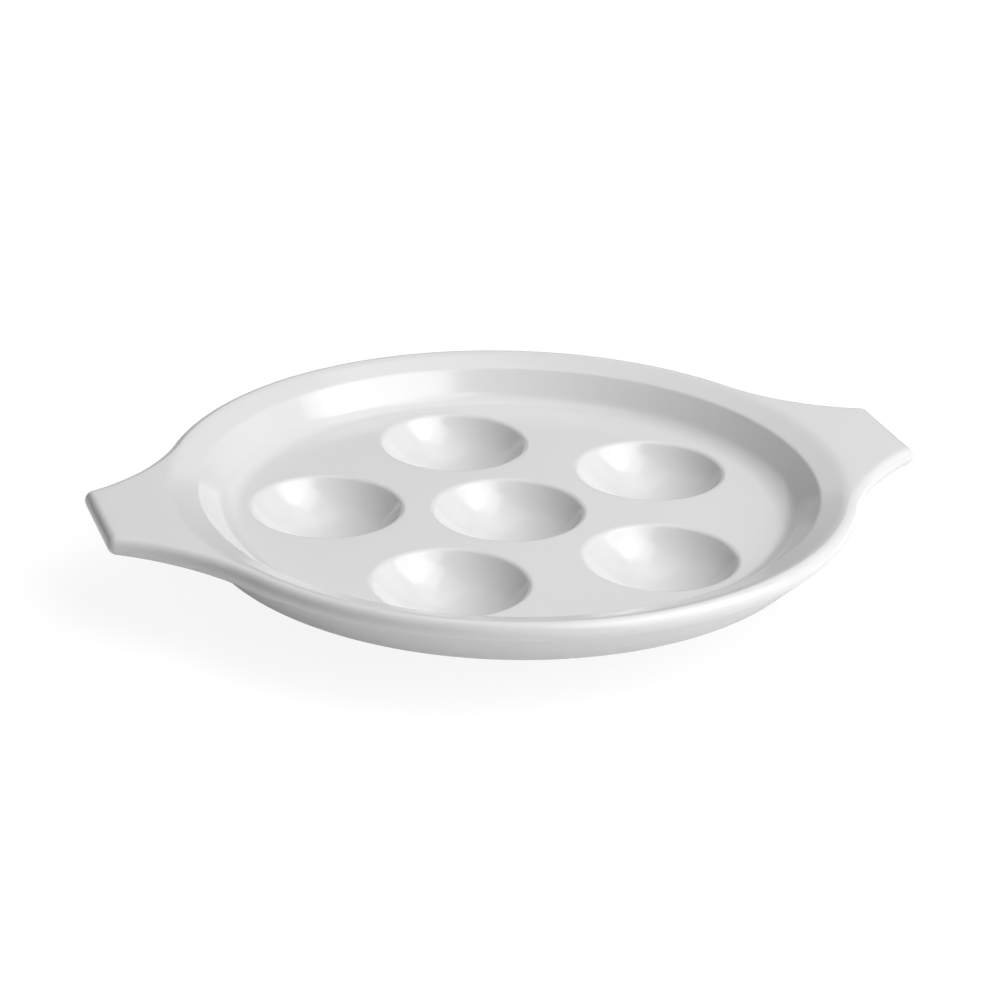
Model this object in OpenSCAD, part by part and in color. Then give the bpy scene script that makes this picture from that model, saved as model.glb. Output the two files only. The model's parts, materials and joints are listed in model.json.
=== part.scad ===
// Escargot dish for six snails.
// A shallow round dish of fired clay with a well in the middle and five wells around it, two flat
// lugs to carry it by and a foot ring to stand on, under a coat of glaze. The dish grows outwards
// from its wells: the land between them, the sloping wall and the rim add up to its diameter.
// Origin: middle of the dish, on the surface that it stands on. The lugs lie along X, +Z is up.

/* [Wells] */
// Diameter of a well across its rounded lip
well_d = 39.8; // [32:0.2:44]
// Depth of a well below the floor of the dish
well_depth = 9.5; // [6:0.1:12]
// Radius of the rounded lip of a well
well_lip_r = 2; // [1.2:0.1:3]
// Thickness of the clay under a well
well_t = 3.5; // [3:0.1:6]
// Number of wells around the middle one
outer_wells = 5; // [3:1:6]
// Width of floor between the middle well and the ones around it
centre_land = 5.7; // [4:0.1:12]
// Width of floor between the outer wells and the wall
wall_land = 4.9; // [3:0.1:10]

/* [Dish] */
// Thickness of the floor
floor_t = 4.2; // [3:0.1:6]
// Depth of the floor below the inner edge of the rim
basin_depth = 7.8; // [5:0.1:12]
// Width in plan of the wall that slopes up from the floor to the rim
wall_run = 7.2; // [5:0.1:12]
// Radius of the curve where the floor turns up into the wall
floor_curve_r = 8; // [3:0.1:9]
// Width in plan that the outside of the wall slopes in below the rim
outside_run = 10.9; // [8:0.1:14]
// Radius of the rounded corner at the bottom of the outside wall
outside_corner_r = 4; // [2:0.1:6]

/* [Rim] */
// Width of the rim in plan
rim_w = 9.5; // [7:0.1:14]
// Rise of the rim's top from its inner edge to its outside
rim_rise = 3.2; // [1.5:0.1:4.5]
// Thickness of the rim at its outside
rim_edge_t = 4.4; // [3.6:0.1:6]
// Radius that rounds the outside of the rim
rim_edge_r = 2.3; // [1.5:0.1:3]
// Radius that softens the inner edge of the rim
rim_inner_r = 2; // [1:0.1:4]

/* [Lugs] */
// Length that a lug stands out past the rim
lug_reach = 17.4; // [12:0.2:26]
// Width of a lug at its straight end
lug_end_w = 29.6; // [20:0.2:38]
// Radius of the hollow curve from the rim to the end of a lug
lug_flare_r = 63; // [45:1:80]
// Thickness of a lug
lug_t = 4.8; // [4:0.1:6]
// Length cut off each corner of a lug's end
lug_corner = 2; // [1:0.1:4]
// Angle by which a lug rises towards its end
lug_tilt = 3; // [0:0.5:6]

/* [Foot] */
// Width of the foot ring where it stands
foot_w = 5; // [3:0.1:8]
// Distance from the middle of the outer wells out to the middle of the foot ring
foot_offset = 4.5; // [0:0.1:7]
// Height of the wells' undersides above the surface that the dish stands on
foot_clear = 1; // [0.6:0.1:4]
// Chamfer along the two standing edges of the foot ring
foot_chamfer = 0.6; // [0.3:0.1:0.9]

/* [Glaze] */
// Thickness of the glaze
glaze_t = 0.4; // [0.3:0.05:0.6]

/* [Hidden] */

$fn = 96;
arc_steps = 8;
// Extra length of a cutting shape past what it cuts
over = 5;
// Drop of a lug's top below the highest line of the rim, so that the two faces cross cleanly
lug_drop = 0.15;
// How much larger than half its thickness the rounding of a lug's edge is, for the same reason
lug_ease = 0.2;
// Angle by which a lug stops short of where its flare touches the rim, so that it has no knife edge
lug_blunt = 3;
// Share of a straight stretch of the section that the arcs at its ends may take
arc_share = 0.98;

clay = [0.93, 0.91, 0.87];
glaze = [0.96, 0.96, 0.95];

// Radii in plan, from the middle outwards
well_r = well_d / 2;
pitch_r = well_d + centre_land;
floor_r = pitch_r + well_r + wall_land;
rim_inner = floor_r + wall_run;
rim_r = rim_inner + rim_w;
lug_tip = rim_r + lug_reach;
foot_r = pitch_r + foot_offset;

// Heights above the surface that the dish stands on
floor_z = foot_clear + well_t + well_depth;
under_z = floor_z - floor_t;
rim_z = floor_z + basin_depth;
mid_floor_z = floor_z - floor_t / 2;

// The dish's section: sharp corners from the middle of the floor, over the rim, to the middle of the
// underside, with the clay on the right hand, and the radius that rounds each corner
section = [
    [0, floor_z],
    [floor_r, floor_z],
    [rim_inner, rim_z],
    [rim_r, rim_z + rim_rise],
    [rim_r, rim_z + rim_rise - rim_edge_t],
    [rim_r - outside_run, under_z],
    [0, under_z],
];
rim_corner = 3;
// The two arcs at the outside of the rim share its thickness
rim_arcs = tan(abs(turn(section, rim_corner)) / 2) + tan(abs(turn(section, rim_corner + 1)) / 2);
rim_round = min(rim_edge_r, arc_share * rim_edge_t / rim_arcs);
// The curve at the foot of the wall stays on the land around the wells
floor_corner = 1;
floor_round = min(floor_curve_r, arc_share * wall_land / tan(abs(turn(section, floor_corner)) / 2));
section_radii = [0, floor_round, rim_inner_r, rim_round, rim_round, outside_corner_r, 0];

// Plane geometry
function unit(v) = v / norm(v);
function left_of(v) = [-v[1], v[0]];
function turned(v, a) = [v[0] * cos(a) - v[1] * sin(a), v[0] * sin(a) + v[1] * cos(a)];
function heading(path, i) = unit(path[i + 1] - path[i]);
function turn(path, i) =
    let (a = heading(path, i - 1), b = heading(path, i))
    atan2(cross(a, b), a * b);

// A path moved to its right by a depth: the surface of the clay under a glaze of that thickness
function sunk_end(path, i, leg, depth) = path[i] - depth * left_of(heading(path, leg));
function sunk_corner(path, i, depth) =
    let (a = left_of(heading(path, i - 1)), b = left_of(heading(path, i)))
    path[i] - depth * (a + b) / (1 + a * b);
function sunk(path, depth) =
    let (last = len(path) - 1)
    concat(
        [sunk_end(path, 0, 0, depth)],
        [for (i = [1 : last - 1]) sunk_corner(path, i, depth)],
        [sunk_end(path, last, last - 1, depth)]
    );

// The arc that rounds one corner of a path
function corner_start(path, i, r) = path[i] - heading(path, i - 1) * r * tan(abs(turn(path, i)) / 2);
function corner_centre(path, i, r) =
    corner_start(path, i, r) + sign(turn(path, i)) * r * left_of(heading(path, i - 1));
function corner_arc(path, i, r) =
    let (centre = corner_centre(path, i, r), spoke = corner_start(path, i, r) - centre)
    [for (k = [0 : arc_steps]) centre + turned(spoke, turn(path, i) * k / arc_steps)];

// The dish's section at a depth below the glazed surface
function dish_outline(depth) =
    let (path = sunk(section, depth), last = len(path) - 1)
    concat(
        [path[0]],
        [for (i = [1 : last - 1])
            each corner_arc(path, i, section_radii[i] + sign(turn(path, i)) * depth)],
        [path[last]]
    );

// Highest line of the rim, and the height at which the upper glaze meets the lower
rim_crest = corner_centre(section, rim_corner, rim_round);
crest_z = rim_crest[1] + rim_round;
glaze_split_z = rim_crest[1];

// A well is part of a ball that runs smoothly into its lip
ball_r = (pow(well_r, 2) + pow(well_depth, 2) - 2 * well_depth * well_lip_r) / (2 * well_depth);
ball_z = floor_z - well_depth + ball_r;
lip_angle = atan2(well_r, ball_r - well_depth + well_lip_r);

function ball_arc(r, end) =
    [for (k = [0 : arc_steps]) let (a = end * k / arc_steps) [r * sin(a), ball_z - r * cos(a)]];
function lip_arc(r) =
    [for (k = [1 : arc_steps])
        let (a = lip_angle * (1 - k / arc_steps)) [well_r - r * sin(a), floor_z - well_lip_r + r * cos(a)]];
function ball_cap(r, top) = concat(ball_arc(r, acos((ball_z - top) / r)), [[0, top]]);

// Lug, along +X
lug_top = crest_z - lug_drop;
lug_mid_z = lug_top - lug_t / 2;
lug_edge_r = lug_t / 2 + lug_ease;
lug_end = [lug_tip, lug_end_w / 2];
// The flare touches the rim's outside and passes through the corner of the lug's end
flare_reach = rim_r + lug_flare_r;
flare_angle = atan2(lug_end[1], lug_end[0])
    + acos((pow(norm(lug_end), 2) + pow(flare_reach, 2) - pow(lug_flare_r, 2))
        / (2 * norm(lug_end) * flare_reach));
flare_centre = flare_reach * [cos(flare_angle), sin(flare_angle)];
lug_root_angle = flare_angle - lug_blunt;
lug_side_l = flare_centre[1];

module at_wells() {
    children();
    for (k = [0 : outer_wells - 1])
        rotate([0, 0, 90 + k * 360 / outer_wells])
            translate([pitch_r, 0, 0])
                children();
}

// Hollow of one well, at a depth below its glazed surface
module well_hollow(depth) {
    rotate_extrude()
        polygon(concat(
            ball_arc(ball_r + depth, lip_angle),
            lip_arc(well_lip_r - depth),
            [[well_r, floor_z + over], [0, floor_z + over]]
        ));
}

// The dish before its wells are hollowed out
module dish_mass(depth) {
    rotate_extrude()
        polygon(dish_outline(depth));
    at_wells()
        rotate_extrude()
            polygon(ball_cap(ball_r + well_t - depth, mid_floor_z));
}

// The dish without its lugs and foot
module dish(depth) {
    difference() {
        dish_mass(depth);
        at_wells()
            well_hollow(depth);
    }
}

// A lug seen from the side, with its round end
module lug_side(depth) {
    intersection() {
        translate([0, lug_mid_z - lug_t / 2 + depth])
            square([lug_tip, lug_t - 2 * depth]);
        union() {
            translate([0, lug_mid_z - lug_t])
                square([lug_tip - lug_edge_r, 2 * lug_t]);
            translate([lug_tip - lug_edge_r, lug_mid_z])
                circle(lug_edge_r - depth);
        }
    }
}

// A lug seen from above, with its cut corners and before its flares
module lug_plan(depth) {
    cut = lug_corner + depth;
    side = unit(left_of(flare_centre - lug_end));
    back = unit(side + [0, 1]);
    tip = lug_tip - depth;
    corner = [tip, lug_end[1] - cut];
    behind = corner + back * lug_reach;
    apex = [depth / sin(lug_root_angle), 0];
    root = apex + flare_reach * [cos(lug_root_angle), sin(lug_root_angle)];
    half = [corner, behind, root];
    polygon(concat(
        [apex],
        [for (i = [2 : -1 : 0]) [half[i][0], -half[i][1]]],
        half
    ));
}

// The hollow flare beside a lug: a wheel with a round groove that leaves the lug's side rounded
module flare(depth) {
    translate([flare_centre[0], flare_centre[1], 0])
        rotate_extrude()
            difference() {
                translate([0, lug_mid_z - lug_t])
                    square([lug_flare_r + lug_edge_r, 2 * lug_t]);
                translate([lug_flare_r + lug_edge_r, lug_mid_z])
                    circle(lug_edge_r - depth);
            }
}

// What a lug leaves free inside the rim, with its face halfway through the clay
module lug_seat() {
    rotate_extrude()
        polygon([
            [0, 0],
            [rim_crest[0] - rim_crest[1], 0],
            rim_crest,
            [rim_crest[0], crest_z + over],
            [0, crest_z + over],
        ]);
}

// A lug along +X as a level plate, right through the rim
module lug_plate(depth) {
    difference() {
        intersection() {
            rotate([90, 0, 0])
                linear_extrude(2 * lug_side_l, center = true)
                    lug_side(depth);
            translate([0, 0, lug_mid_z - lug_t])
                linear_extrude(2 * lug_t)
                    lug_plan(depth);
        }
        flare(depth);
        mirror([0, 1, 0])
            flare(depth);
    }
}

// One lug along +X, at a depth below its glazed surface, tilted up from the rim's highest line
module lug(depth) {
    difference() {
        translate([rim_crest[0], 0, lug_top])
            rotate([0, -lug_tilt, 0])
                translate([-rim_crest[0], 0, -lug_top])
                    lug_plate(depth);
        lug_seat();
    }
}

module left_side() {
    rotate([0, 0, 180])
        children();
}

// Foot ring up into the middle of the floor
module foot() {
    rotate_extrude()
        translate([foot_r, 0])
            polygon([
                [-foot_w / 2, foot_chamfer],
                [foot_chamfer - foot_w / 2, 0],
                [foot_w / 2 - foot_chamfer, 0],
                [foot_w / 2, foot_chamfer],
                [foot_w / 2, mid_floor_z],
                [-foot_w / 2, mid_floor_z],
            ]);
}

// Dish and lugs together, at a depth below the glazed surface
module whole(depth) {
    dish(depth);
    lug(depth);
    left_side()
        lug(depth);
}

// Everything above the middle of the clay, which holds the upper glaze
module upper_zone() {
    rotate_extrude()
        polygon([
            [0, mid_floor_z],
            [floor_r, mid_floor_z],
            rim_crest,
            [lug_tip + over, glaze_split_z],
            [lug_tip + over, crest_z + over],
            [0, crest_z + over],
        ]);
    at_wells()
        rotate_extrude()
            polygon(ball_cap(ball_r + well_t / 2, floor_z));
}

module glaze_coat() {
    difference() {
        whole(0);
        whole(glaze_t);
    }
}

// Pieces

module dish_body() {
    color(clay)
        dish(glaze_t);
}

module clay_lug() {
    color(clay)
        difference() {
            lug(glaze_t);
            dish(glaze_t);
        }
}

module left_lug() {
    left_side()
        clay_lug();
}

module right_lug() {
    clay_lug();
}

module foot_ring() {
    color(clay)
        difference() {
            foot();
            dish_mass(glaze_t);
        }
}

module upper_glaze() {
    color(glaze)
        intersection() {
            glaze_coat();
            upper_zone();
        }
}

module lower_glaze() {
    color(glaze)
        difference() {
            glaze_coat();
            upper_zone();
            foot();
        }
}

dish_body();
left_lug();
right_lug();
foot_ring();
upper_glaze();
lower_glaze();
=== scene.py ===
"""Escargot dish: the coats of glaze and the bare foot ring around the clay dish, on a plain stage."""

import json
import math

import bmesh
import bpy
from bpy.props import FloatProperty, FloatVectorProperty, IntProperty, PointerProperty
from mathutils import Matrix, Vector

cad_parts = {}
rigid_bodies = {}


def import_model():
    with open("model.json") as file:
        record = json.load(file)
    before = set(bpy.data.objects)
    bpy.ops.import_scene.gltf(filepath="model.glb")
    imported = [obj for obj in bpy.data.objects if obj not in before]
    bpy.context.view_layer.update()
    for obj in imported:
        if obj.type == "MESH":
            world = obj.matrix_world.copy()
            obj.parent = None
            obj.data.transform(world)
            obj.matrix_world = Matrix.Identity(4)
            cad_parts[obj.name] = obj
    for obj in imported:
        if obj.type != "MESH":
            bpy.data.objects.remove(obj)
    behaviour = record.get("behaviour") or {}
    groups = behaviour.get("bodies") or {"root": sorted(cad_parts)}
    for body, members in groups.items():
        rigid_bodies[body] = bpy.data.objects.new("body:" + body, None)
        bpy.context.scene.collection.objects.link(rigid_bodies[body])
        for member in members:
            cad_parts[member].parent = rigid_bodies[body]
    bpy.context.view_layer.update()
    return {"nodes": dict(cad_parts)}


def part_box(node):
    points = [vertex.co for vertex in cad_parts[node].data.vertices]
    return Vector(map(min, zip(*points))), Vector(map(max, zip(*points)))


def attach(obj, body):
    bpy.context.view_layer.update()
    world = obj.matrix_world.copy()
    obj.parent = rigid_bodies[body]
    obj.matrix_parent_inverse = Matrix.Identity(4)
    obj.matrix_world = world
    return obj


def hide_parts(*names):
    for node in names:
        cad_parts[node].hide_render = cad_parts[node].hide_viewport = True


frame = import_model()

bl_info = {
    "name": "Escargot Dish",
    "version": (1, 0, 0),
    "blender": (4, 5, 0),
    "location": "View3D > Sidebar > Dish",
    "description": "Models the glaze and the bare foot of a six-well escargot dish around its clay body",
    "category": "Add Mesh",
}

MM = 0.001
WHITE = (1.0, 1.0, 1.0, 1.0)
# Thickness of the glaze in the CAD solids
CAD_GLAZE_T = 0.4 * MM

# Steps along each stretch of the outer edge, in one quarter of the plan
END_STEPS = 9
CORNER_STEPS = 8
FLARE_STEPS = 40
RIM_STEPS = 62
# Steps round the outer edge's section, and from there to where the surface is round again
EDGE_STEPS = 12
SPREAD_STEPS = 16
# Steps along an arc of a section, along a bowl's section and around a bowl
ARC_STEPS = 8
BOWL_STEPS = 14
BOWL_SIDES = 96
# Steps around the foot ring
FOOT_SIDES = 240
# Distance from the end of a long straight stretch to the loop that keeps its shading flat, and the length
# from which a stretch is long
SUPPORT = 0.4 * MM
LONG_STRETCH = 4 * SUPPORT
# Share of the first step round the edge at which a loop keeps the seam's shading upright
SEAM_SHARE = 0.1
# Slope at which the outside runs on past the rim, so steep that a lug's underside lies below it
PAST_RIM_SLOPE = 10.0
# Least height over which two surfaces ease into each other
LEAST_EASE = 0.04 * MM
# Differences of height up to which the top counts as round and a vertex lies on a level
ROUND_ERROR = 1e-9
LEVEL_ERROR = 0.04 * MM
# Distances up to which vertices are doubles, in a coat and where a spin ends on its start
COAT_DOUBLES = 0.0004 * MM
SPIN_DOUBLES = 0.004 * MM
# Turn before +X from which the points of a loop are counted
START_TURN = 0.0001
# Angle between faces up to which the shading runs on smoothly
SMOOTH_ANGLE = math.radians(40)
# Detail of the noise in the waves and in the grain of a surface
WAVE_DETAIL = 1.0
GRAIN_DETAIL = 2.0


class DishSizes(bpy.types.PropertyGroup):
    """Sizes of the round dish"""

    rim_r: FloatProperty(
        name="Rim radius", description="Radius of the outside of the rim",
        default=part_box("lower_glaze")[1].y, subtype="DISTANCE", unit="LENGTH")
    rim_w: FloatProperty(
        name="Rim width", description="Width of the rim in plan",
        default=9.5 * MM, subtype="DISTANCE", unit="LENGTH")
    rim_rise: FloatProperty(
        name="Rim rise", description="Rise of the rim's top from its inner edge to its outside",
        default=3.2 * MM, subtype="DISTANCE", unit="LENGTH")
    rim_edge_t: FloatProperty(
        name="Rim thickness", description="Thickness of the rim at its outside",
        default=4.4 * MM, subtype="DISTANCE", unit="LENGTH")
    edge_r: FloatProperty(
        name="Edge radius", description="Radius that rounds the outer edge of the rim and the lugs",
        default=2.35 * MM, subtype="DISTANCE", unit="LENGTH")
    rim_inner_r: FloatProperty(
        name="Inner edge radius", description="Radius that softens the inner edge of the rim",
        default=2.0 * MM, subtype="DISTANCE", unit="LENGTH")
    wall_run: FloatProperty(
        name="Wall run", description="Width in plan of the wall that slopes up from the floor",
        default=7.2 * MM, subtype="DISTANCE", unit="LENGTH")
    basin_depth: FloatProperty(
        name="Basin depth", description="Depth of the floor below the inner edge of the rim",
        default=7.8 * MM, subtype="DISTANCE", unit="LENGTH")
    floor_curve_r: FloatProperty(
        name="Floor curve", description="Radius of the curve where the floor turns up into the wall",
        default=8.0 * MM, subtype="DISTANCE", unit="LENGTH")
    floor_t: FloatProperty(
        name="Floor thickness", description="Thickness of the floor",
        default=4.2 * MM, subtype="DISTANCE", unit="LENGTH")
    outside_run: FloatProperty(
        name="Outside run", description="Width in plan that the outside of the wall slopes in",
        default=10.9 * MM, subtype="DISTANCE", unit="LENGTH")
    outside_corner_r: FloatProperty(
        name="Outside corner", description="Radius of the corner at the bottom of the outside wall",
        default=4.0 * MM, subtype="DISTANCE", unit="LENGTH")


class WellSizes(bpy.types.PropertyGroup):
    """Sizes of the wells"""

    low_z: FloatProperty(
        name="Height of the wells", description="Height of a well's lowest point",
        default=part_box("upper_glaze")[0].z + CAD_GLAZE_T, subtype="DISTANCE", unit="LENGTH")
    well_d: FloatProperty(
        name="Well diameter", description="Diameter of a well across its rounded lip",
        default=39.8 * MM, subtype="DISTANCE", unit="LENGTH")
    well_depth: FloatProperty(
        name="Well depth", description="Depth of a well below the floor",
        default=9.5 * MM, subtype="DISTANCE", unit="LENGTH")
    lip_r: FloatProperty(
        name="Lip radius", description="Radius of the rounded lip of a well",
        default=2.0 * MM, subtype="DISTANCE", unit="LENGTH")
    pitch_r: FloatProperty(
        name="Pitch radius", description="Distance from the middle well to the ones around it",
        default=45.5 * MM, subtype="DISTANCE", unit="LENGTH")
    outer_wells: IntProperty(
        name="Outer wells", description="Number of wells around the middle one", default=5, min=3, max=6)
    cup_t: FloatProperty(
        name="Cup thickness", description="Thickness under a well",
        default=3.5 * MM, subtype="DISTANCE", unit="LENGTH")
    cup_fillet_r: FloatProperty(
        name="Cup fillet", description="Radius of the hollow where a cup leaves the underside",
        default=3.0 * MM, subtype="DISTANCE", unit="LENGTH")


class LugSizes(bpy.types.PropertyGroup):
    """Sizes of the two lugs"""

    tip: FloatProperty(
        name="Lug tip", description="Distance from the middle of the dish to the end of a lug",
        default=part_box("lower_glaze")[1].x, subtype="DISTANCE", unit="LENGTH")
    end_w: FloatProperty(
        name="End width", description="Width of a lug at its straight end, between its sharp corners",
        default=29.8 * MM, subtype="DISTANCE", unit="LENGTH")
    flare_r: FloatProperty(
        name="Flare radius", description="Radius of the hollow curve from the rim to a lug's end",
        default=63.0 * MM, subtype="DISTANCE", unit="LENGTH")
    corner_r: FloatProperty(
        name="Corner radius", description="Radius of the corners of a lug's end",
        default=2.6 * MM, subtype="DISTANCE", unit="LENGTH")
    tilt: FloatProperty(
        name="Tilt", description="Angle by which a lug rises towards its end",
        default=math.radians(3.0), subtype="ANGLE", unit="ROTATION")
    root_z: FloatProperty(
        name="Root height", description="Height of a lug's top where it leaves the rim",
        default=24.06 * MM, subtype="DISTANCE", unit="LENGTH")
    top_ease: FloatProperty(
        name="Top ease", description="Height over which the rim's top eases into a lug's top",
        default=0.45 * MM, subtype="DISTANCE", unit="LENGTH")
    under_ease: FloatProperty(
        name="Under ease", description="Height over which the wall sweeps into a lug's underside",
        default=4.0 * MM, subtype="DISTANCE", unit="LENGTH")
    root_l: FloatProperty(
        name="Root length", description="Reach past the rim at which the sweep under a lug is whole",
        default=6.0 * MM, subtype="DISTANCE", unit="LENGTH")
    root_turn: FloatProperty(
        name="Root turn",
        description="Angle past a lug's flare in which its underside runs out under the rim",
        default=math.radians(10.0), subtype="ANGLE", unit="ROTATION")


class FootSizes(bpy.types.PropertyGroup):
    """Sizes of the bare foot ring"""

    outer_r: FloatProperty(
        name="Outer radius", description="Radius of the outside of the foot ring",
        default=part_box("foot_ring")[1].x, subtype="DISTANCE", unit="LENGTH")
    width: FloatProperty(
        name="Width", description="Width of the foot ring",
        default=5.0 * MM, subtype="DISTANCE", unit="LENGTH")
    edge_r: FloatProperty(
        name="Edge radius", description="Radius of the sponged edges that the foot stands on",
        default=0.9 * MM, subtype="DISTANCE", unit="LENGTH")
    seat: FloatProperty(
        name="Seat", description="Depth by which the foot ring stands in the clay of the dish",
        default=0.6 * MM, subtype="DISTANCE", unit="LENGTH")
    wiped: FloatProperty(
        name="Wiped gap", description="Gap that wiping leaves between the glaze and the foot ring",
        default=0.1 * MM, subtype="DISTANCE", unit="LENGTH")


class GlazeFinish(bpy.types.PropertyGroup):
    """Finish of the glaze"""

    thickness: FloatProperty(
        name="Thickness", description="Thickness of the glaze",
        default=0.35 * MM, subtype="DISTANCE", unit="LENGTH")
    white: FloatVectorProperty(
        name="White", description="Colour of the glaze", size=3,
        default=(0.70, 0.70, 0.70), subtype="COLOR", min=0.0, max=1.0)
    thin: FloatVectorProperty(
        name="Thin", description="Colour where the glaze is thin over an edge", size=3,
        default=(0.685, 0.685, 0.683), subtype="COLOR", min=0.0, max=1.0)
    pooled: FloatVectorProperty(
        name="Pooled", description="Colour where the glaze has pooled", size=3,
        default=(0.705, 0.705, 0.705), subtype="COLOR", min=0.0, max=1.0)
    speck: FloatVectorProperty(
        name="Speck", description="Colour of the few specks in the glaze", size=3,
        default=(0.66, 0.655, 0.64), subtype="COLOR", min=0.0, max=1.0)
    roughness: FloatProperty(
        name="Roughness", description="Roughness of the glaze", default=0.12, subtype="FACTOR")
    spread: FloatProperty(
        name="Spread", description="Range in which the roughness changes", default=0.08, subtype="FACTOR")
    thin_share: FloatProperty(
        name="Thin share", description="Share of the thin colour in the slow change of tone",
        default=0.25, subtype="FACTOR")
    refraction: FloatProperty(
        name="Refraction", description="Index of refraction of the glaze", default=1.5)


class ClayFinish(bpy.types.PropertyGroup):
    """Finish of the bare clay"""

    light: FloatVectorProperty(
        name="Light", description="Lighter colour of the fired clay", size=3,
        default=(0.74, 0.70, 0.62), subtype="COLOR", min=0.0, max=1.0)
    dark: FloatVectorProperty(
        name="Dark", description="Darker colour of the fired clay", size=3,
        default=(0.60, 0.55, 0.47), subtype="COLOR", min=0.0, max=1.0)
    speck: FloatVectorProperty(
        name="Speck", description="Colour of the grains in the clay", size=3,
        default=(0.36, 0.31, 0.25), subtype="COLOR", min=0.0, max=1.0)
    roughness: FloatProperty(
        name="Roughness", description="Roughness of the bare clay", default=0.88, subtype="FACTOR")
    spread: FloatProperty(
        name="Spread", description="Range in which the roughness changes", default=0.1, subtype="FACTOR")


class StageSettings(bpy.types.PropertyGroup):
    """Camera, lights and floor"""

    azimuth: FloatProperty(
        name="Azimuth", description="Angle of the camera round the dish",
        default=math.radians(-19.0), subtype="ANGLE", unit="ROTATION")
    elevation: FloatProperty(
        name="Elevation", description="Angle of the camera above the rim",
        default=math.radians(23.413), subtype="ANGLE", unit="ROTATION")
    roll: FloatProperty(
        name="Roll", description="Turn of the camera about its own axis",
        default=math.radians(1.454), subtype="ANGLE", unit="ROTATION")
    distance: FloatProperty(
        name="Distance", description="Distance of the camera from the middle of the rim",
        default=755.2 * MM, subtype="DISTANCE", unit="LENGTH")
    aim_z: FloatProperty(
        name="Aim height", description="Height of the point that the camera looks at",
        default=21.8 * MM, subtype="DISTANCE", unit="LENGTH")
    lens: FloatProperty(
        name="Lens", description="Focal length of the camera, in millimetres", default=108.8)
    sensor_w: FloatProperty(
        name="Sensor", description="Width of the camera's sensor, in millimetres", default=36.0)
    shift: FloatVectorProperty(
        name="Shift", description="Shift of the lens, as a share of the picture's width", size=2,
        default=(-0.009414, -0.019383))
    key_place: FloatVectorProperty(
        name="Key place", description="Where the large light at the front right stands", size=3,
        default=(0.64, -0.58, 0.68), subtype="TRANSLATION", unit="LENGTH")
    key_size: FloatProperty(
        name="Key size", description="Side of the large light at the front right",
        default=1.2, subtype="DISTANCE", unit="LENGTH")
    key_power: FloatProperty(
        name="Key power", description="Power of the large light at the front right",
        default=12.6, unit="POWER")
    high_place: FloatVectorProperty(
        name="High place", description="Where the light high on the right stands", size=3,
        default=(0.42, -0.26, 0.98), subtype="TRANSLATION", unit="LENGTH")
    high_size: FloatProperty(
        name="High size", description="Side of the light high on the right",
        default=0.65, subtype="DISTANCE", unit="LENGTH")
    high_power: FloatProperty(
        name="High power", description="Power of the light high on the right", default=3.1, unit="POWER")
    top_place: FloatVectorProperty(
        name="Top place", description="Where the light above the dish stands", size=3,
        default=(0.25, 0.14, 1.06), subtype="TRANSLATION", unit="LENGTH")
    top_size: FloatProperty(
        name="Top size", description="Side of the light above the dish",
        default=0.9, subtype="DISTANCE", unit="LENGTH")
    top_power: FloatProperty(
        name="Top power", description="Power of the light above the dish", default=2.4, unit="POWER")
    back_place: FloatVectorProperty(
        name="Back place", description="Where the light behind the dish stands", size=3,
        default=(0.12, 0.70, 0.84), subtype="TRANSLATION", unit="LENGTH")
    back_size: FloatProperty(
        name="Back size", description="Side of the light behind the dish",
        default=1.2, subtype="DISTANCE", unit="LENGTH")
    back_power: FloatProperty(
        name="Back power", description="Power of the light behind the dish", default=2.3, unit="POWER")
    front_place: FloatVectorProperty(
        name="Front place", description="Where the low light in front stands", size=3,
        default=(0.0, -1.08, 0.19), subtype="TRANSLATION", unit="LENGTH")
    front_size: FloatProperty(
        name="Front size", description="Side of the low light in front",
        default=0.9, subtype="DISTANCE", unit="LENGTH")
    front_power: FloatProperty(
        name="Front power", description="Power of the low light in front", default=1.2, unit="POWER")
    sky: FloatProperty(
        name="Sky", description="Strength of the even light from all round", default=0.05)
    floor_w: FloatProperty(
        name="Floor", description="Side of the floor",
        default=4.0, subtype="DISTANCE", unit="LENGTH")
    floor_white: FloatVectorProperty(
        name="Floor white", description="Colour of the floor", size=3,
        default=(0.80, 0.80, 0.80), subtype="COLOR", min=0.0, max=1.0)
    floor_lift: FloatProperty(
        name="Floor lift", description="Share of plain white in the floor that the camera sees by the dish",
        default=0.8, subtype="FACTOR", min=0.0, max=1.0)
    floor_glow: FloatProperty(
        name="Floor glow", description="Strength of the plain white that the camera sees", default=1.08)
    # The floor itself glows with this strength for every ray: a painted light from below, which no lamp
    # gives
    floor_underglow: FloatProperty(
        name="Floor bounce", description="Strength of the soft light that comes up from the floor",
        default=0.10)
    fade_start: FloatProperty(
        name="Fade start",
        description="Distance from the dish at which the floor begins to turn plain white",
        default=0.35, subtype="DISTANCE", unit="LENGTH")
    fade_stop: FloatProperty(
        name="Fade stop", description="Distance from the dish at which the floor is plain white",
        default=1.2, subtype="DISTANCE", unit="LENGTH")


# Plane geometry of sections and plans

def heading(angle):
    """The direction at an angle from +X, in plan."""
    return Vector((math.cos(angle), math.sin(angle)))


def spaced(start, stop, steps):
    """Evenly spaced values from start to stop, with both."""
    return [start + (stop - start) * i / steps for i in range(steps + 1)]


def smooth_step(value):
    """A step from 0 to 1 that starts and ends level."""
    share = min(max(value, 0.0), 1.0)
    return share * share * (3 - 2 * share)


def soft_min(a, b, reach):
    """The lower of two heights, eased where they come within reach of each other."""
    near = max(reach - abs(a - b), 0.0) / reach
    return min(a, b) - near * near * reach / 4


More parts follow.
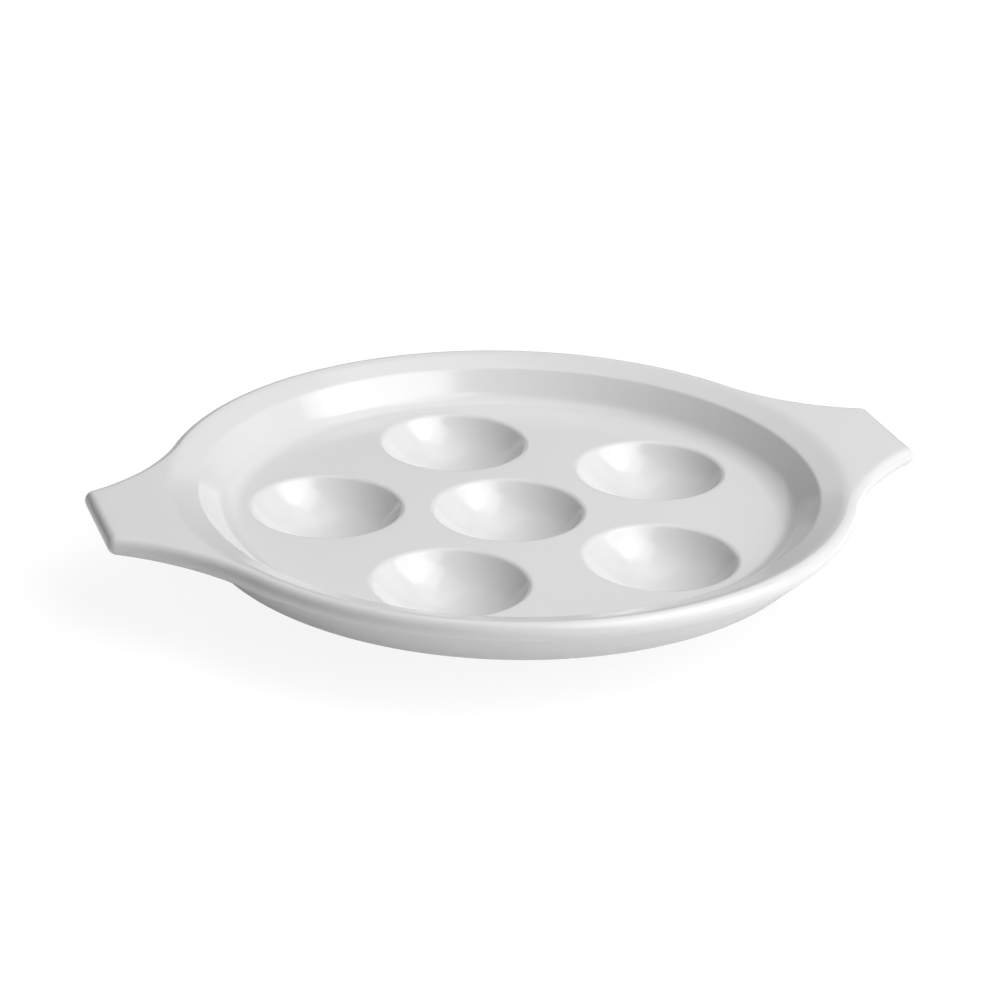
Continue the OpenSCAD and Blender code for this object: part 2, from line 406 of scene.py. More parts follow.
def rounded(before, corner, after, radius):
    """The arc that rounds a corner of a section, from the side of one neighbour to the other's."""
    back = (before - corner).normalized()
    on = (after - corner).normalized()
    half = back.angle(on) / 2
    middle = corner + (back + on).normalized() * radius / math.sin(half)
    start = corner + back * radius / math.tan(half) - middle
    stop = corner + on * radius / math.tan(half) - middle
    sweep = math.pi - 2 * half
    return [
        middle + (start * math.sin(sweep - a) + stop * math.sin(a)) / math.sin(sweep)
        for a in spaced(0, sweep, ARC_STEPS)
    ]


def supported(section):
    """A section with two more points in each long straight stretch, close to its ends."""
    full = [section[0]]
    for a, b in zip(section, section[1:]):
        run = b - a
        if run.length > LONG_STRETCH:
            step = run.normalized() * SUPPORT
            full += [a + step, b - step]
        full.append(b)
    return full


class DishShape:
    """The surfaces of the dish, worked out from its sizes."""

    def __init__(self, scene):
        self.dish = dish = scene.dish_sizes
        self.wells = wells = scene.well_sizes
        self.lug = lug = scene.lug_sizes
        self.floor_z = wells.low_z + wells.well_depth
        self.under_z = self.floor_z - dish.floor_t
        self.rim_inner = dish.rim_r - dish.rim_w
        self.rim_z = self.floor_z + dish.basin_depth
        self.floor_r = self.rim_inner - dish.wall_run
        self.rim_slope = dish.rim_rise / dish.rim_w
        self.edge_mid_r = dish.rim_r - dish.edge_r
        # The ball that a well is part of
        well_r = wells.well_d / 2
        self.ball_r = (well_r ** 2 + wells.well_depth ** 2) / (2 * wells.well_depth) - wells.lip_r
        self.ball_z = wells.low_z + self.ball_r
        # The rounded lower edge of the rim, above the sloping outside of the wall
        self.low_corner = Vector((dish.rim_r, self.rim_z + dish.rim_rise - dish.rim_edge_t))
        self.low_inner = Vector((dish.rim_r - dish.outside_run, self.under_z))
        lean = self.low_corner - self.low_inner
        self.wall_slope = lean.y / lean.x
        turn = math.pi / 2 - math.atan(self.wall_slope)
        self.low_edge_z = self.low_corner.y + dish.edge_r * math.tan(turn / 2)
        self.low_edge_end = self.edge_mid_r + dish.edge_r * math.cos(turn)
        # The flare beside a lug touches the rim and passes through the corner of the lug's end
        self.lug_end = Vector((lug.tip, lug.end_w / 2))
        self.flare_reach = dish.rim_r + lug.flare_r
        end_l = self.lug_end.length
        self.flare_angle = math.atan2(self.lug_end.y, self.lug_end.x) + math.acos(
            (end_l ** 2 + self.flare_reach ** 2 - lug.flare_r ** 2) / (2 * end_l * self.flare_reach))

    def top(self, r):
        """Height of the rim's top and the lugs' tops at a radius."""
        rim = self.rim_z + (r - self.rim_inner) * self.rim_slope
        return soft_min(rim, self.lug_plane(r), self.lug.top_ease)

    def lug_plane(self, r):
        """Height of a lug's flat top at a radius."""
        return self.lug.root_z + (r - self.edge_mid_r) * math.tan(self.lug.tilt)

    def lug_under(self, r):
        """Height of a lug's flat underside at a radius, along the middle of the lug."""
        return self.lug_plane(r) - 2 * self.dish.edge_r

    def top_slope(self, r):
        """Slope of the top along a radius."""
        return (self.top(r + SUPPORT) - self.top(r - SUPPORT)) / (2 * SUPPORT)

    def outside(self, r):
        """Height of the outside of the wall and the rim's lower edge at a radius."""
        edge_r = self.dish.edge_r
        if r > self.dish.rim_r:
            return self.low_edge_z + (r - self.dish.rim_r) * PAST_RIM_SLOPE
        if r > self.low_edge_end:
            return self.low_edge_z - math.sqrt(edge_r ** 2 - (r - self.edge_mid_r) ** 2)
        return self.low_corner.y - (self.dish.rim_r - r) * self.wall_slope

    def top_round_r(self):
        """Radius inside which the top is the same all round."""
        spread = self.lug.top_ease / (self.rim_slope - math.tan(self.lug.tilt))
        crossing = self.edge_mid_r
        while self.top(crossing) < self.rim_z + (crossing - self.rim_inner) * self.rim_slope - ROUND_ERROR:
            crossing -= spread / ARC_STEPS
        return crossing

    def under_round_r(self):
        """Radius inside which the outside of the wall is the same all round."""
        drop = self.low_corner.y - self.lug_under(self.rim_inner)
        return self.dish.rim_r - (drop + self.lug.under_ease) / self.wall_slope - SUPPORT

    def outline(self):
        """The outer edge in plan, once round from the middle of the right lug's end: points and the
        directions that face outwards there."""
        lug, rim_r, flare_angle = self.lug, self.dish.rim_r, self.flare_angle
        flare = self.flare_reach * heading(flare_angle)
        corner_x = lug.tip - lug.corner_r
        rise = math.sqrt((lug.flare_r + lug.corner_r) ** 2 - (flare.x - corner_x) ** 2)
        corner = Vector((corner_x, flare.y - rise))
        turn = math.atan2(rise, flare.x - corner_x)
        ahead = Vector((1, 0))
        end_line = [(Vector((lug.tip, y)), ahead) for y in spaced(0, corner.y, END_STEPS)]
        corner_arc = [
            (corner + lug.corner_r * heading(a), heading(a)) for a in spaced(0, turn, CORNER_STEPS)]
        flare_arc = [
            (flare - lug.flare_r * heading(a), heading(a)) for a in spaced(turn, flare_angle, FLARE_STEPS)]
        rim_arc = [
            (rim_r * heading(a), heading(a)) for a in spaced(flare_angle, math.pi / 2, RIM_STEPS)]
        quarter = end_line + corner_arc[1:] + flare_arc[1:] + rim_arc[1:]
        across = Vector((-1, 1))
        half = quarter + [(p * across, d * across) for p, d in reversed(quarter[:-1])]
        return half + [(-p, -d) for p, d in half[1:-1]]

    def droop(self, flat):
        """Share of the radius by which a lug's flat underside lies lower beside the lug's middle."""
        beside = math.atan2(abs(flat.y), abs(flat.x))
        kept = 1 - smooth_step((beside - self.flare_angle) / self.lug.root_turn)
        return (1 - math.cos(beside)) * math.tan(self.lug.tilt) * kept

    def edge_columns(self):
        """For each point of the outline: the middle of its rounded edge, the direction outwards, the
        angle by which the top leans in there and the reach of the sweep under a lug."""
        edge_r = self.dish.edge_r
        columns = []
        for point, out in self.outline():
            inner = point - edge_r * out
            r = inner.length
            slope = self.top_slope(r) * inner.normalized().dot(out)
            middle = Vector((*inner, self.top(r) - edge_r * math.hypot(1, slope)))
            past_rim = (point.length - self.dish.rim_r) / self.lug.root_l
            ease = max(self.lug.under_ease * smooth_step(past_rim), LEAST_EASE)
            columns.append((middle, out, math.atan(slope), ease))
        return columns

    def bowl(self, level, lip_r, ball_r):
        """Section of a bowl from the flat around it, over its lip, to near its lowest point."""
        rise = self.ball_z - level + lip_r
        mouth_r = math.sqrt((ball_r + lip_r) ** 2 - rise ** 2)
        angle = math.atan2(mouth_r, rise)
        lip = [
            Vector((mouth_r - lip_r * math.sin(a), level - lip_r + lip_r * math.cos(a)))
            for a in spaced(0, angle, ARC_STEPS)]
        ball = [
            Vector((ball_r * math.sin(a), self.ball_z - ball_r * math.cos(a)))
            for a in spaced(angle, 0, BOWL_STEPS)]
        return [lip[0] + Vector((SUPPORT, 0))] + lip + ball[1:-1]

    def bowl_places(self):
        """Where the wells are in plan, the middle one first."""
        wells = self.wells
        turn = math.tau / wells.outer_wells
        around = [wells.pitch_r * heading(math.pi / 2 + turn * i) for i in range(wells.outer_wells)]
        return [Vector((0, 0))] + around


# Modelling in edit mode

def start_loop(name, count):
    """Starts a piece as one loop of edges and opens it in edit mode."""
    bpy.ops.object.select_all(action="DESELECT")
    bpy.ops.mesh.primitive_circle_add(vertices=count, radius=1.0)
    piece = bpy.context.object
    piece.name = piece.data.name = name
    bpy.ops.object.mode_set(mode="EDIT")
    bpy.ops.mesh.select_mode(type="VERT")
    bpy.ops.mesh.select_all(action="SELECT")
    return piece


def turn_of(point):
    """Angle of a point round the dish, from just before +X, to put the points of a loop in order."""
    return (math.atan2(point.y, point.x) + START_TURN) % math.tau


def lay_loop(piece, points):
    """Puts the vertices of the chosen loop on points, both in order round the dish."""
    shape = bmesh.from_edit_mesh(piece.data)
    chosen = sorted((v for v in shape.verts if v.select), key=lambda v: turn_of(v.co))
    for vertex, point in zip(chosen, sorted(points, key=turn_of), strict=True):
        vertex.co = point
    bmesh.update_edit_mesh(piece.data)


def extrude_to(piece, points):
    """Extrudes the chosen loop and puts the new one on points."""
    bpy.ops.mesh.extrude_region_move()
    lay_loop(piece, points)


def round_edge(piece, columns, edge_point):
    """Lays the first loop along the seam and extrudes it round the section of the outer edge."""
    shares = spaced(0, 1, EDGE_STEPS)
    lay_loop(piece, [edge_point(c, 0) for c in columns])
    for share in [shares[1] * SEAM_SHARE] + shares[1:]:
        extrude_to(piece, [edge_point(c, share) for c in columns])


def extrude_rings(section):
    """Extrudes the chosen level loop along a section, with its middle on the Z axis."""
    for a, b in zip(section, section[1:]):
        grow = b.x / a.x
        bpy.ops.mesh.extrude_region_move(TRANSFORM_OT_translate={"value": (0, 0, b.y - a.y)})
        bpy.ops.transform.resize(value=(grow, grow, 1), center_override=(0, 0, 0))


def add_bowls(section, places):
    """Models one bowl in the middle, closes its lowest point and copies it to its other places."""
    bpy.ops.mesh.primitive_circle_add(
        vertices=BOWL_SIDES, radius=section[0].x, location=(0, 0, section[0].y))
    extrude_rings(section)
    bpy.ops.mesh.merge(type="CENTER")
    bpy.ops.mesh.select_linked()
    for a, b in zip(places, places[1:]):
        bpy.ops.mesh.duplicate_move(TRANSFORM_OT_translate={"value": (*(b - a), 0)})


def on_level(part, level):
    """Whether an edge or a face lies on a level."""
    return all(abs(v.co.z - level) < LEVEL_ERROR for v in part.verts)


def fill_level(piece, level):
    """Fills the flat between the open loops at a level."""
    bpy.ops.mesh.select_all(action="DESELECT")
    shape = bmesh.from_edit_mesh(piece.data)
    for edge in shape.edges:
        if edge.is_boundary and on_level(edge, level):
            edge.select_set(True)
    bmesh.update_edit_mesh(piece.data)
    bpy.ops.mesh.fill(use_beauty=True)


def face_outwards(piece, level, up):
    """Merges doubles and turns the faces so that those of the flat at a level look up or down."""
    bpy.ops.mesh.select_all(action="SELECT")
    bpy.ops.mesh.remove_doubles(threshold=COAT_DOUBLES)
    bpy.ops.mesh.normals_make_consistent(inside=False)
    shape = bmesh.from_edit_mesh(piece.data)
    flat = max((f for f in shape.faces if on_level(f, level)), key=lambda f: f.calc_area())
    if flat.normal.z * up < 0:
        bpy.ops.mesh.flip_normals()
    bpy.ops.object.mode_set(mode="OBJECT")


def apply_modifier(piece, kind, **settings):
    """Adds a modifier with its settings and applies it."""
    bpy.context.view_layer.objects.active = piece
    bpy.ops.object.modifier_add(type=kind)
    modifier = piece.modifiers[-1]
    for name, value in settings.items():
        setattr(modifier, name, value)
    bpy.ops.object.modifier_apply(modifier=modifier.name)


def close_coat(piece, section, bowl, places, up, thickness):
    """Carries a coat on along a section to the flat at its end, sets the bowls in that flat, fills it
    and gives the coat its thickness."""
    end = section[-1]
    extrude_rings(supported([*section, end - Vector((SUPPORT, 0))]))
    add_bowls(bowl, places)
    fill_level(piece, end.y)
    face_outwards(piece, end.y, up)
    apply_modifier(piece, "SOLIDIFY", thickness=thickness, offset=-1)


def finish_piece(piece, material, slot, *nodes):
    """Smooths a piece, gives it its material and lets it stand for its CAD nodes."""
    bpy.ops.object.select_all(action="DESELECT")
    piece.select_set(True)
    bpy.context.view_layer.objects.active = piece
    bpy.ops.object.shade_smooth_by_angle(angle=SMOOTH_ANGLE)
    piece.data.materials.clear()
    piece.data.materials.append(material)
    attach(piece, "root")
    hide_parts(*nodes)


def spin_ring(name, section):
    """A ring turned round the Z axis from a closed section."""
    piece = start_loop(name, len(section))
    shape = bmesh.from_edit_mesh(piece.data)
    for vertex, point in zip(shape.verts, section, strict=True):
        vertex.co = (point.x, 0, point.y)
    bmesh.update_edit_mesh(piece.data)
    bpy.ops.mesh.spin(steps=FOOT_SIDES, angle=math.tau, center=(0, 0, 0), axis=(0, 0, 1))
    bpy.ops.mesh.select_all(action="SELECT")
    bpy.ops.mesh.remove_doubles(threshold=SPIN_DOUBLES)
    bpy.ops.mesh.normals_make_consistent(inside=False)
    bpy.ops.object.mode_set(mode="OBJECT")
    return piece


def cut_away(piece, tool):
    """Cuts a tool's shape out of a piece and deletes the tool."""
    apply_modifier(piece, "BOOLEAN", operation="DIFFERENCE", object=tool, solver="EXACT")
    bpy.data.objects.remove(tool)


# Materials

def new_group(name, inputs, outputs):
    """A shader node group with its sockets and its two end nodes."""
    group = bpy.data.node_groups.new(name, "ShaderNodeTree")
    for side, sockets in (("INPUT", inputs), ("OUTPUT", outputs)):
        for socket in sockets:
            group.interface.new_socket(socket, in_out=side, socket_type="NodeSocketFloat")
    return group, group.nodes.new("NodeGroupInput"), group.nodes.new("NodeGroupOutput")


def add_math(tree, operation, *values):
    """A Math node whose inputs are numbers or other nodes' sockets."""
    node = tree.nodes.new("ShaderNodeMath")
    node.operation = operation
    for socket, value in zip(node.inputs, values):
        if isinstance(value, bpy.types.NodeSocket):
            tree.links.new(value, socket)
        else:
            socket.default_value = value
    return node.outputs["Value"]


def add_mix(tree, share, a, b):
    """A colour mixed from a to b, each a colour or another node's socket."""
    node = tree.nodes.new("ShaderNodeMix")
    node.data_type = "RGBA"
    sockets = {s.identifier: s for s in (*node.inputs, *node.outputs)}
    tree.links.new(share, sockets["Factor_Float"])
    for name, value in (("A_Color", a), ("B_Color", b)):
        if isinstance(value, bpy.types.NodeSocket):
            tree.links.new(value, sockets[name])
        else:
            sockets[name].default_value = (*value, 1.0)
    return sockets["Result_Color"]


def join_shaders(tree, kind, *sources):
    """A node that mixes or adds shaders, with its inputs linked in order."""
    node = tree.nodes.new(kind)
    for source, socket in zip(sources, node.inputs, strict=True):
        tree.links.new(source, socket)
    return node.outputs["Shader"]


def add_emission(tree, strength):
    """A white Emission node."""
    node = tree.nodes.new("ShaderNodeEmission")
    node.inputs["Color"].default_value = WHITE
    node.inputs["Strength"].default_value = strength
    return node.outputs["Emission"]


def add_noise(tree, vector, scale, detail):
    """A noise from 0 to 1 that changes with the place."""
    node = tree.nodes.new("ShaderNodeTexNoise")
    node.inputs["Detail"].default_value = detail
    tree.links.new(vector, node.inputs["Vector"])
    tree.links.new(scale, node.inputs["Scale"])
    return node.outputs["Fac"]


def uneven_group():
    """Long waves and fine grain of a fired surface: its height and its slow change of tone."""
    group, given, made = new_group(
        "uneven_surface", ("Waves per metre", "Grains per metre", "Wave height", "Grain height"),
        ("Height", "Tone"))
    place = group.nodes.new("ShaderNodeTexCoord").outputs["Object"]
    waves = add_noise(group, place, given.outputs["Waves per metre"], WAVE_DETAIL)
    grain = add_noise(group, place, given.outputs["Grains per metre"], GRAIN_DETAIL)
    high = add_math(group, "MULTIPLY", waves, given.outputs["Wave height"])
    fine = add_math(group, "MULTIPLY", grain, given.outputs["Grain height"])
    group.links.new(add_math(group, "ADD", high, fine), made.inputs["Height"])
    group.links.new(waves, made.inputs["Tone"])
    return group


def specks_group():
    """Scattered specks: a mask that is 1 in a few small spots."""
    group, given, made = new_group("specks", ("Spots per metre", "Radius", "Share"), ("Mask",))
    place = group.nodes.new("ShaderNodeTexCoord").outputs["Object"]
    cells = group.nodes.new("ShaderNodeTexVoronoi")
    group.links.new(place, cells.inputs["Vector"])
    group.links.new(given.outputs["Spots per metre"], cells.inputs["Scale"])
    kept = add_math(group, "LESS_THAN", cells.outputs["Color"], given.outputs["Share"])
    near = add_math(group, "DIVIDE", cells.outputs["Distance"], given.outputs["Radius"])
    spot = add_math(group, "SUBTRACT", 1.0, near)
    clamped = group.nodes.new("ShaderNodeClamp")
    group.links.new(add_math(group, "MULTIPLY", kept, spot), clamped.inputs["Value"])
    group.links.new(clamped.outputs["Result"], made.inputs["Mask"])
    return group


def place_group(tree, group, **values):
    """Places a node group with its own values and returns the group's outputs."""
    node = tree.nodes.new("ShaderNodeGroup")
    node.node_tree = group
    for name, value in values.items():
        node.inputs[name.replace("_", " ")].default_value = value
    return node.outputs


def new_material(name):
    """A material, its node tree and its main shader."""
    material = bpy.data.materials.new(name)
    material.use_nodes = True
    return material, material.node_tree, material.node_tree.nodes["Principled BSDF"]


def add_bump(tree, height, shader):
    """Bumps a surface by a height in millimetres."""
    bump = tree.nodes.new("ShaderNodeBump")
    bump.inputs["Strength"].default_value = 1.0
    bump.inputs["Distance"].default_value = MM
    tree.links.new(height, bump.inputs["Height"])
    tree.links.new(bump.outputs["Normal"], shader.inputs["Normal"])


def add_roughness(tree, tone, finish, shader):
    """Lets the roughness change with the tone, about half the spread to either side."""
    least = finish.roughness - finish.spread / 2
    roughness = add_math(tree, "MULTIPLY_ADD", tone, finish.spread, least)
    tree.links.new(roughness, shader.inputs["Roughness"])


def shared_group(name, build):
    """The node group of that name, built when it is first asked for."""
    return bpy.data.node_groups.get(name) or build()


def glaze_material(finish, shape):
    """White glaze with a soft gloss: a faint wave, pools in the wells and a few specks."""
    found = bpy.data.materials.get("white_glaze")
    if found:
        return found
    material, tree, shader = new_material("white_glaze")
    uneven = place_group(
        tree, shared_group("uneven_surface", uneven_group),
        Waves_per_metre=55.0, Grains_per_metre=900.0, Wave_height=0.03, Grain_height=0.0012)
    specks = place_group(
        tree, shared_group("specks", specks_group), Spots_per_metre=90.0, Radius=0.035, Share=0.1)
    place = tree.nodes.new("ShaderNodeTexCoord").outputs["Object"]
    parts = tree.nodes.new("ShaderNodeSeparateXYZ")
    tree.links.new(place, parts.inputs["Vector"])
    depth = add_math(tree, "SUBTRACT", shape.floor_z, parts.outputs["Z"])
    pool = add_math(tree, "DIVIDE", depth, shape.wells.well_depth)
    pooled = tree.nodes.new("ShaderNodeClamp")
    tree.links.new(pool, pooled.inputs["Value"])
    toned = add_mix(tree, uneven["Tone"], finish.white, finish.thin)
    thinned = add_math(tree, "MULTIPLY", uneven["Tone"], finish.thin_share)
    part_toned = add_mix(tree, thinned, finish.white, toned)
    colour = add_mix(tree, pooled.outputs["Result"], part_toned, finish.pooled)
    speckled = add_mix(tree, specks["Mask"], colour, finish.speck)
    tree.links.new(speckled, shader.inputs["Base Color"])
    add_roughness(tree, uneven["Tone"], finish, shader)
    shader.inputs["IOR"].default_value = finish.refraction
    add_bump(tree, uneven["Height"], shader)
    return material


def clay_material(finish):
    """Bare fired clay: matte, fine-grained, with cloudy tone and darker grains."""
    found = bpy.data.materials.get("bare_clay")
    if found:
        return found
    material, tree, shader = new_material("bare_clay")
    uneven = place_group(
        tree, shared_group("uneven_surface", uneven_group),
        Waves_per_metre=120.0, Grains_per_metre=2500.0, Wave_height=0.02, Grain_height=0.05)
    specks = place_group(
        tree, shared_group("specks", specks_group), Spots_per_metre=700.0, Radius=0.28, Share=0.12)
    cloudy = add_mix(tree, uneven["Tone"], finish.dark, finish.light)
    grained = add_mix(tree, specks["Mask"], cloudy, finish.speck)
    tree.links.new(grained, shader.inputs["Base Color"])
    add_roughness(tree, uneven["Tone"], finish, shader)
    add_bump(tree, uneven["Height"], shader)
    return material


# Operators

class DISH_OT_clay_body(bpy.types.Operator):
    """Gives the clay of the dish and its lugs their finish"""

    bl_idname = "dish.clay_body"
    bl_label = "Clay Body"

    def execute(self, context):
        material = clay_material(context.scene.clay_finish)
        for node in ("dish_body", "left_lug", "right_lug"):
            mesh = frame["nodes"][node].data
            mesh.materials.clear()
            mesh.materials.append(material)
        return {"FINISHED"}


class DISH_OT_upper_glaze(bpy.types.Operator):
    """Models the coat of glaze over the floor, the wells, the rim and the tops of the lugs"""

    bl_idname = "dish.upper_glaze"
    bl_label = "Upper Glaze"

    def execute(self, context):
        scene = context.scene
        shape = DishShape(scene)
        dish = shape.dish
        columns = shape.edge_columns()
        piece = start_loop("glaze_upper", len(columns))

        def edge_point(column, share):
            middle, out, lean, _ = column
            angle = (math.pi / 2 + lean) * share
            flat = middle.xy + out * dish.edge_r * math.cos(angle)
            return Vector((*flat, middle.z + dish.edge_r * math.sin(angle)))

        round_edge(piece, columns, edge_point)
        rim_edge = [edge_point(c, 1).xy for c in columns]
        round_r = shape.top_round_r()
        for share in spaced(0, 1, SPREAD_STEPS)[1:]:
            flats = [p.normalized() * (p.length + (round_r - p.length) * share) for p in rim_edge]
            extrude_to(piece, [Vector((*p, shape.top(p.length))) for p in flats])

        outside = Vector((round_r, shape.top(round_r)))
        rim_edge_in = Vector((shape.rim_inner, shape.rim_z))
        floor_edge = Vector((shape.floor_r, shape.floor_z))
        floor_middle = Vector((0, shape.floor_z))
        section = [outside]
        section += rounded(outside, rim_edge_in, floor_edge, dish.rim_inner_r)
        section += rounded(rim_edge_in, floor_edge, floor_middle, dish.floor_curve_r)
        well = shape.bowl(shape.floor_z, shape.wells.lip_r, shape.ball_r)
        finish = scene.glaze_finish
        close_coat(piece, section, well, shape.bowl_places(), 1, finish.thickness)
        finish_piece(piece, glaze_material(finish, shape), "glaze", "upper_glaze")
        return {"FINISHED"}


class DISH_OT_lower_glaze(bpy.types.Operator):
    """Models the coat of glaze under the rim, the lugs and the floor, wiped off the foot ring"""

    bl_idname = "dish.lower_glaze"
    bl_label = "Lower Glaze"

    def execute(self, context):
        scene = context.scene
        shape = DishShape(scene)
        dish = shape.dish
        columns = shape.edge_columns()
        piece = start_loop("glaze_lower", len(columns))

        def edge_point(column, share):
            middle, out, _, ease = column
            angle = math.pi / 2 * share
            flat = middle.xy + out * dish.edge_r * math.cos(angle)
            drop = dish.edge_r + shape.droop(middle.xy) * middle.xy.length
            edge = middle.z - drop * math.sin(angle)
            if share > 0:
                edge = soft_min(edge, shape.outside(flat.length), ease)
            return Vector((*flat, edge))

        def under_point(column, round_r, share):
            middle, _, _, ease = column
            r = middle.xy.length + (round_r - middle.xy.length) * share
            drooped = shape.lug_under(r) - shape.droop(middle.xy) * r
            return Vector((*(middle.xy.normalized() * r), soft_min(drooped, shape.outside(r), ease)))

        round_edge(piece, columns, edge_point)
        round_r = shape.under_round_r()
        for share in spaced(0, 1, SPREAD_STEPS)[1:]:
            extrude_to(piece, [under_point(c, round_r, share) for c in columns])

        outside = Vector((round_r, shape.outside(round_r)))
        under_middle = Vector((0, shape.under_z))
        section = [outside]
        section += rounded(outside, shape.low_inner, under_middle, dish.outside_corner_r)
        cup = shape.bowl(shape.under_z, shape.wells.cup_fillet_r, shape.ball_r + shape.wells.cup_t)
        finish = scene.glaze_finish
        close_coat(piece, section, cup, shape.bowl_places(), -1, finish.thickness)
        foot = scene.foot_sizes
        outer_r = foot.outer_r + foot.wiped
        inner_r = foot.outer_r - foot.width - foot.wiped
        # The cutter reaches as far above the coat as the coat is thick
        top = shape.under_z + 2 * finish.thickness
        wiped = [Vector(p) for p in ((inner_r, 0), (outer_r, 0), (outer_r, top), (inner_r, top))]
        cut_away(piece, spin_ring("wiped_ring", wiped))
        finish_piece(piece, glaze_material(finish, shape), "glaze", "lower_glaze")
        return {"FINISHED"}


class DISH_OT_bare_foot(bpy.types.Operator):
    """Models the bare ring of clay that the dish stands on"""

    bl_idname = "dish.bare_foot"
    bl_label = "Bare Foot"

    def execute(self, context):
        scene = context.scene
        shape = DishShape(scene)
        foot = scene.foot_sizes
        top = shape.under_z + foot.seat
        inner_r = foot.outer_r - foot.width
        corners = [Vector(p) for p in (
            (inner_r, top), (inner_r, 0), (foot.outer_r, 0), (foot.outer_r, top))]
        section = [corners[0]]
        section += rounded(corners[0], corners[1], corners[2], foot.edge_r)
        section += rounded(corners[1], corners[2], corners[3], foot.edge_r)
        section.append(corners[3])
        piece = spin_ring("bare_foot", supported(section))
        for place in shape.bowl_places()[1:]:
            bpy.ops.object.select_all(action="DESELECT")
            bpy.ops.mesh.primitive_uv_sphere_add(
                segments=BOWL_SIDES, ring_count=BOWL_SIDES, location=(*place, shape.ball_z),
                radius=shape.ball_r + shape.wells.cup_t - foot.seat)
            cut_away(piece, bpy.context.object)
        finish_piece(piece, clay_material(scene.clay_finish), "clay", "foot_ring")
        return {"FINISHED"}


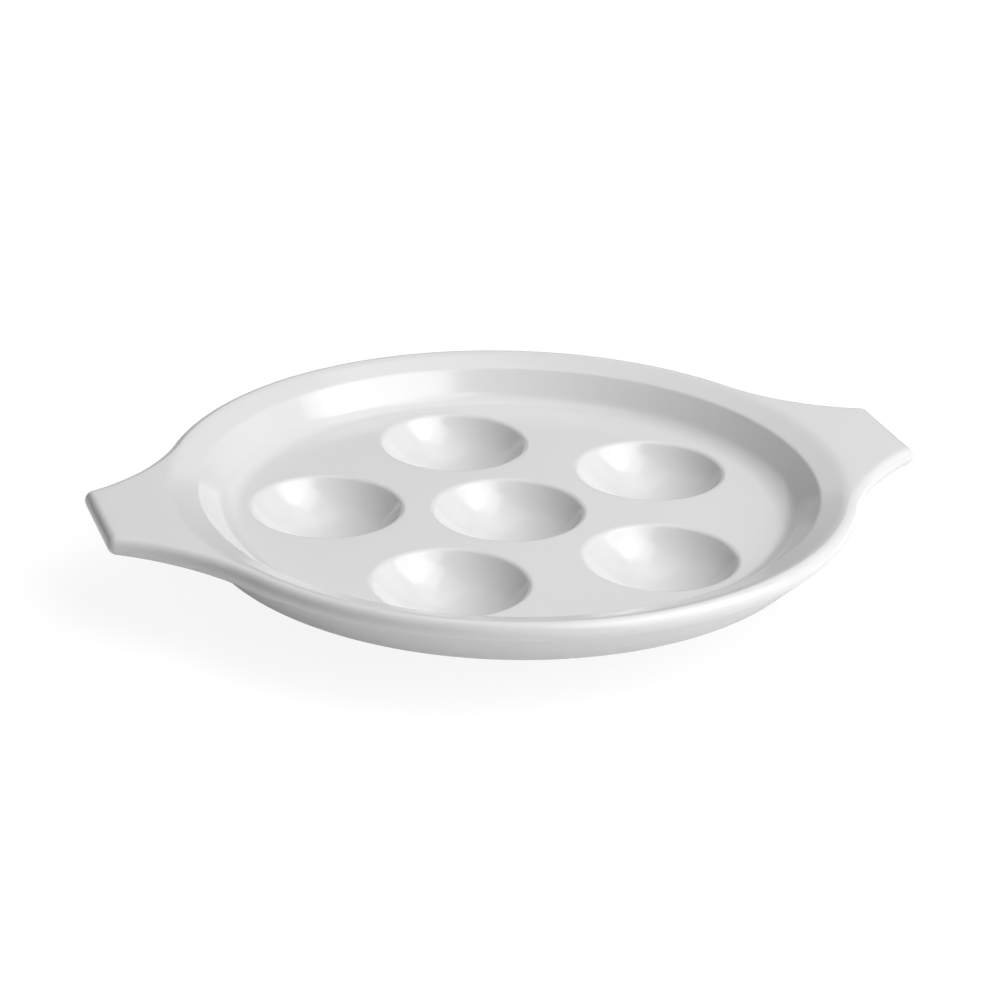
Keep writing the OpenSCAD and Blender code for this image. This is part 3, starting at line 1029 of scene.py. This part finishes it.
class DISH_OT_stage(bpy.types.Operator):
    """Sets the floor, the soft lights, the white surroundings and the camera"""

    bl_idname = "dish.stage"
    bl_label = "Stage"

    def execute(self, context):
        settings = context.scene.stage_settings
        self.floor(settings)
        for name in ("key", "high", "top", "back", "front"):
            self.soft_light(settings, name)
        self.surroundings(context.scene, settings)
        self.camera(context.scene, settings)
        context.scene.view_settings.view_transform = "Standard"
        return {"FINISHED"}

    def floor(self, settings):
        """Lays a pale floor that keeps the dish's shadow, glows a little as a painted light from below and
        turns plain white away from the dish.
        """
        bpy.ops.object.select_all(action="DESELECT")
        bpy.ops.mesh.primitive_plane_add(size=settings.floor_w)
        floor = bpy.context.object
        floor.name = "floor"
        material = bpy.data.materials.new("pale_floor")
        material.use_nodes = True
        tree = material.node_tree
        tree.nodes.remove(tree.nodes["Principled BSDF"])
        matte = tree.nodes.new("ShaderNodeBsdfDiffuse")
        matte.inputs["Color"].default_value = (*settings.floor_white, 1.0)
        # Painted light: the floor glows a little for every ray, which lights the dish's underside from
        # below
        glow_from_below = add_emission(tree, settings.floor_underglow)
        lit = join_shaders(tree, "ShaderNodeAddShader", matte.outputs["BSDF"], glow_from_below)
        white = add_emission(tree, settings.floor_glow)
        clear = tree.nodes.new("ShaderNodeBsdfTransparent").outputs["BSDF"]
        away = tree.nodes.new("ShaderNodeVectorMath")
        away.operation = "LENGTH"
        place = tree.nodes.new("ShaderNodeTexCoord").outputs["Object"]
        tree.links.new(place, away.inputs["Vector"])
        fade = tree.nodes.new("ShaderNodeMapRange")
        tree.links.new(away.outputs["Value"], fade.inputs["Value"])
        fade.inputs["From Min"].default_value = settings.fade_start
        fade.inputs["From Max"].default_value = settings.fade_stop
        fade.inputs["To Min"].default_value = settings.floor_lift
        rays = tree.nodes.new("ShaderNodeLightPath")
        lift = add_math(tree, "MULTIPLY", rays.outputs["Is Camera Ray"], fade.outputs["Result"])
        back = tree.nodes.new("ShaderNodeNewGeometry").outputs["Backfacing"]
        pale = join_shaders(tree, "ShaderNodeMixShader", lift, lit, white)
        one_sided = join_shaders(tree, "ShaderNodeMixShader", back, pale, clear)
        tree.links.new(one_sided, tree.nodes["Material Output"].inputs["Surface"])
        floor.data.materials.append(material)

    def soft_light(self, settings, name):
        """Places one square light and turns it to the dish."""
        place = Vector(getattr(settings, name + "_place"))
        bpy.ops.object.light_add(type="AREA", location=place)
        light = bpy.context.object
        light.name = name + "_light"
        light.rotation_mode = "QUATERNION"
        light.rotation_quaternion = place.to_track_quat("Z", "Y")
        light.data.size = getattr(settings, name + "_size")
        light.data.energy = getattr(settings, name + "_power")

    def surroundings(self, scene, settings):
        """Lights the dish evenly from all round and shows plain white to the camera."""
        world = bpy.data.worlds.new("white_room")
        world.use_nodes = True
        tree = world.node_tree
        even = tree.nodes["Background"]
        even.inputs["Color"].default_value = WHITE
        even.inputs["Strength"].default_value = settings.sky
        white = tree.nodes.new("ShaderNodeBackground")
        white.inputs["Color"].default_value = WHITE
        seen = tree.nodes.new("ShaderNodeLightPath").outputs["Is Camera Ray"]
        room = join_shaders(
            tree, "ShaderNodeMixShader", seen, even.outputs["Background"], white.outputs["Background"])
        tree.links.new(room, tree.nodes["World Output"].inputs["Surface"])
        scene.world = world

    def camera(self, scene, settings):
        """Sets the camera at the photograph's viewing angle."""
        level = Vector((math.sin(settings.azimuth), -math.cos(settings.azimuth), 0))
        back = level * math.cos(settings.elevation) + Vector((0, 0, math.sin(settings.elevation)))
        right = Vector((0, 0, 1)).cross(back).normalized()
        up = back.cross(right)
        turned_right = right * math.cos(settings.roll) + up * math.sin(settings.roll)
        turned_up = up * math.cos(settings.roll) - right * math.sin(settings.roll)
        place = Vector((0, 0, settings.aim_z)) + back * settings.distance
        bpy.ops.object.camera_add()
        camera = bpy.context.object
        camera.name = "camera"
        turned = Matrix((turned_right, turned_up, back)).transposed().to_4x4()
        camera.matrix_world = Matrix.Translation(place) @ turned
        camera.data.sensor_width = settings.sensor_w
        camera.data.lens = settings.lens
        camera.data.shift_x, camera.data.shift_y = settings.shift
        scene.camera = camera


class DISH_PT_sidebar(bpy.types.Panel):
    """Lists the pieces of the dish and their sizes"""

    bl_idname = "DISH_PT_sidebar"
    bl_label = "Escargot Dish"
    bl_space_type = "VIEW_3D"
    bl_region_type = "UI"
    bl_category = "Dish"

    def draw(self, context):
        for operator in OPERATORS:
            self.layout.operator(operator.bl_idname)
        for name, group in GROUPS.items():
            box = self.layout.box()
            box.label(text=group.__doc__)
            for size in group.__annotations__:
                box.prop(getattr(context.scene, name), size)


GROUPS = {
    "dish_sizes": DishSizes,
    "well_sizes": WellSizes,
    "lug_sizes": LugSizes,
    "foot_sizes": FootSizes,
    "glaze_finish": GlazeFinish,
    "clay_finish": ClayFinish,
    "stage_settings": StageSettings,
}
OPERATORS = (
    DISH_OT_clay_body,
    DISH_OT_upper_glaze,
    DISH_OT_lower_glaze,
    DISH_OT_bare_foot,
    DISH_OT_stage,
)


def register():
    for group in GROUPS.values():
        bpy.utils.register_class(group)
    for name, group in GROUPS.items():
        setattr(bpy.types.Scene, name, PointerProperty(type=group))
    for part in (*OPERATORS, DISH_PT_sidebar):
        bpy.utils.register_class(part)


def unregister():
    for part in (DISH_PT_sidebar, *reversed(OPERATORS)):
        bpy.utils.unregister_class(part)
    for name, group in GROUPS.items():
        delattr(bpy.types.Scene, name)
        bpy.utils.unregister_class(group)


def main():
    register()
    bpy.ops.dish.clay_body()
    bpy.ops.dish.upper_glaze()
    bpy.ops.dish.lower_glaze()
    bpy.ops.dish.bare_foot()
    bpy.ops.dish.stage()


if __name__ == "__main__":
    main()
